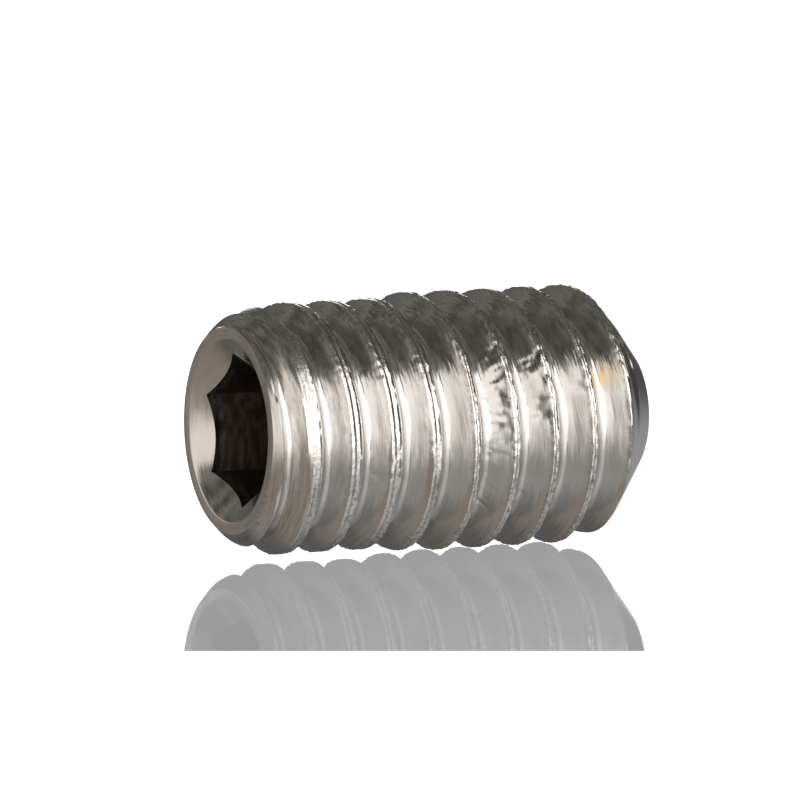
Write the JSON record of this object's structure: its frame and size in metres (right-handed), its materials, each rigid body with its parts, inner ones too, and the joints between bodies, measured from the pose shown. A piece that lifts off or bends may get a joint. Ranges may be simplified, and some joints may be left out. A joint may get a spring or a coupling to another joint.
{
  "type": "grub set screw",
  "caption": "Headless set screw with a full-length external metric thread, a countersunk hexagon socket in one end and a cup point at the other.",
  "frame": {"origin": "centre of the ring on which the cup point stands", "axes": "+Z along the screw's axis, from the cup point up to the socket end; +X is the side where a thread crest lies 0.39 mm above a whole number of pitches from the point ring"},
  "size_m": [0.006, 0.006, 0.01],
  "materials": {
    "stainless_steel": "rolled and turned stainless steel, fairly bright, with fine scratches round the axis"
  },
  "bodies": {
    "root": {"set_screw": "stainless_steel"}
  },
  "joints": []
}
